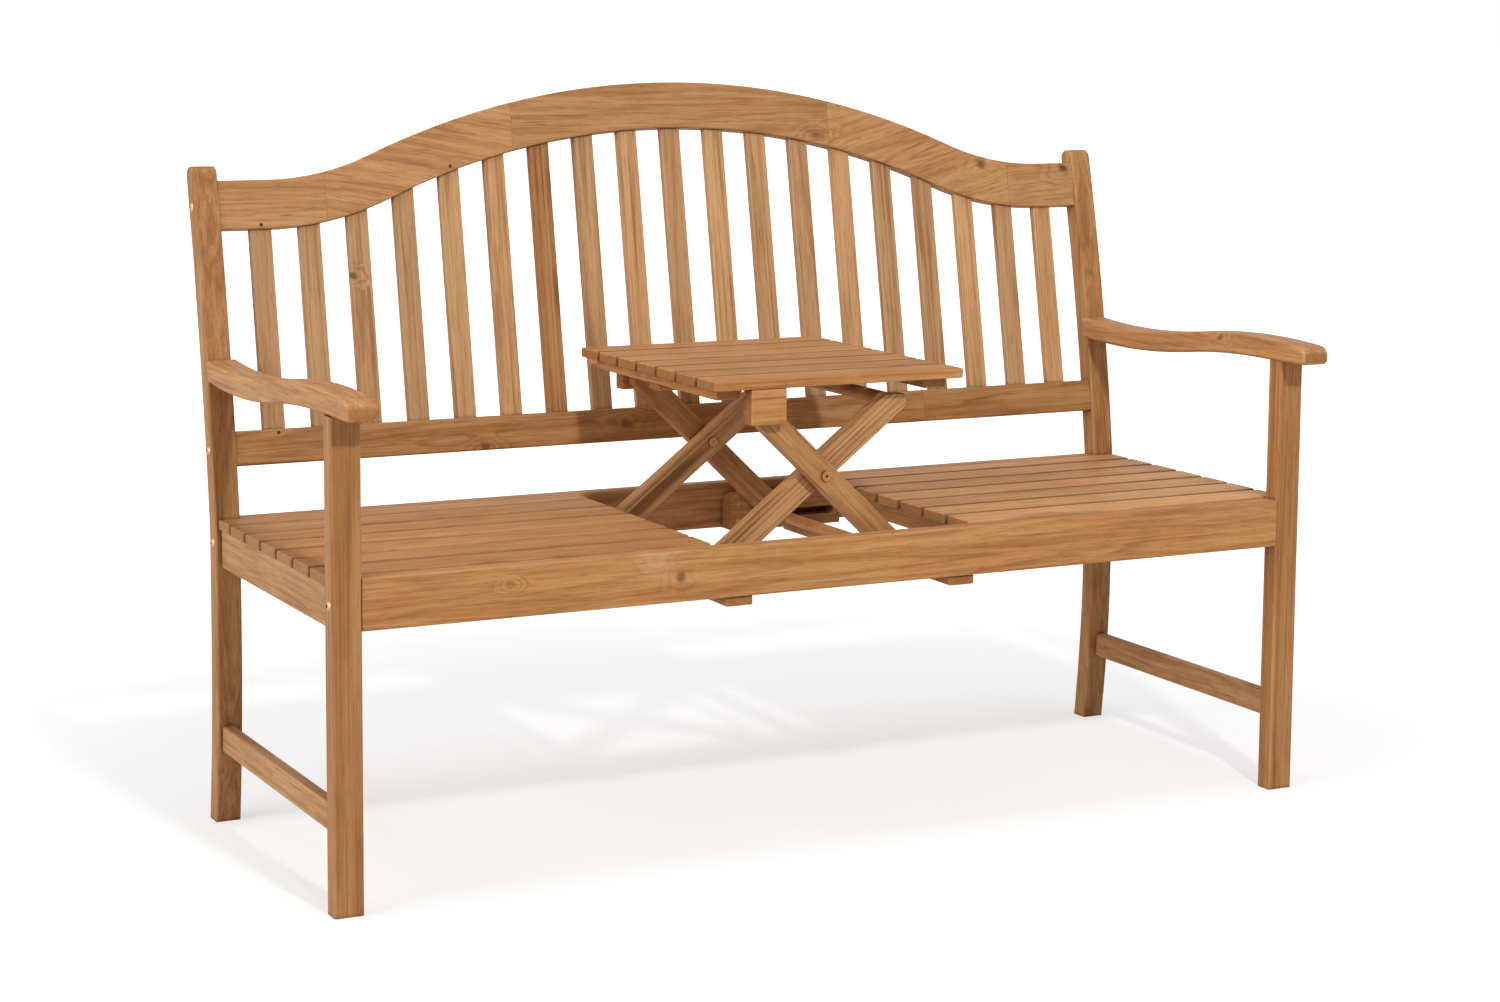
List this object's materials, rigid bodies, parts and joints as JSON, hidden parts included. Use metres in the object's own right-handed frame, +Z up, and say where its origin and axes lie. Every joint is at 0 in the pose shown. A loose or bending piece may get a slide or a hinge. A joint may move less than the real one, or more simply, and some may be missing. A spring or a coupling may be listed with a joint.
{
  "type": "companion seat bench",
  "caption": "Slatted garden bench in oiled hardwood with an arched back, arm rests and a middle table that folds up on scissor arms between the seats.",
  "frame": {"origin": "on the floor under the middle of the bench's plan box", "axes": "+X along the bench to the sitter's left, +Y towards the back rest, +Z up"},
  "size_m": [1.5054, 0.683, 1.0378],
  "materials": {
    "oiled_acacia": "sanded and oiled, satin",
    "brass_bolt": "yellow passivated steel, satin",
    "plated_steel": "zinc plated"
  },
  "bodies": {
    "bench": {"front_leg_left": "oiled_acacia", "front_leg_right": "oiled_acacia", "back_post_left": "oiled_acacia", "back_post_right": "oiled_acacia", "arm_left": "oiled_acacia", "arm_right": "oiled_acacia", "crest_rail": "oiled_acacia", "lower_back_rail": "oiled_acacia", "back_slat_01": "oiled_acacia", "back_slat_02": "oiled_acacia", "back_slat_03": "oiled_acacia", "back_slat_04": "oiled_acacia", "back_slat_05": "oiled_acacia", "back_slat_06": "oiled_acacia", "back_slat_07": "oiled_acacia", "back_slat_08": "oiled_acacia", "back_slat_09": "oiled_acacia", "back_slat_10": "oiled_acacia", "back_slat_11": "oiled_acacia", "back_slat_12": "oiled_acacia", "back_slat_13": "oiled_acacia", "back_slat_14": "oiled_acacia", "back_slat_15": "oiled_acacia", "back_slat_16": "oiled_acacia", "back_slat_17": "oiled_acacia", "back_slat_18": "oiled_acacia", "back_slat_19": "oiled_acacia", "front_seat_rail": "oiled_acacia", "back_seat_rail": "oiled_acacia", "side_seat_rail_left": "oiled_acacia", "side_seat_rail_right": "oiled_acacia", "inner_bearer_left": "oiled_acacia", "inner_bearer_right": "oiled_acacia", "seat_slats_left": "oiled_acacia", "seat_slats_right": "oiled_acacia", "side_stretcher_left": "oiled_acacia", "side_stretcher_right": "oiled_acacia", "lower_batten_left": "oiled_acacia", "lower_batten_right": "oiled_acacia", "track_board_front": "oiled_acacia", "track_board_back": "oiled_acacia", "pivot_block_front": "oiled_acacia", "pivot_block_back": "oiled_acacia", "lower_hinge_bolts": "brass_bolt", "frame_bolts": "brass_bolt", "screws": "plated_steel"},
    "inner_frame": {"inner_arm_front": "oiled_acacia", "inner_arm_back": "oiled_acacia", "inner_stretcher": "oiled_acacia", "cross_bolts": "brass_bolt"},
    "outer_frame": {"outer_arm_front": "oiled_acacia", "outer_arm_back": "oiled_acacia", "slide_bar": "oiled_acacia"},
    "table": {"table_slats": "oiled_acacia", "table_batten_left": "oiled_acacia", "table_batten_right": "oiled_acacia", "table_runner": "oiled_acacia", "hinge_block_front": "oiled_acacia", "hinge_block_back": "oiled_acacia", "upper_hinge_pins": "brass_bolt"}
  },
  "joints": [
    {"name": "table_fold", "type": "hinge", "parent": "bench", "child": "inner_frame", "pos_m": [-0.17636, -0.02554, 0.3895], "axis": [0, 1, 0], "range_deg": [0, 37.6]},
    {"name": "crossing_turn", "type": "hinge", "parent": "inner_frame", "child": "outer_frame", "pos_m": [-0.016, -0.02554, 0.51299], "axis": [0, 1, 0], "range_deg": [-81.3, 0]},
    {"name": "table_level", "type": "hinge", "parent": "outer_frame", "child": "table", "pos_m": [-0.11524, -0.02554, 0.6075], "axis": [0, 1, 0], "range_deg": [0, 43.7]}
  ],
  "couplings": [
    {"joint": "crossing_turn", "follows": "table_fold", "ratio": -2.1596},
    {"joint": "table_level", "follows": "table_fold", "ratio": 1.1596}
  ]
}
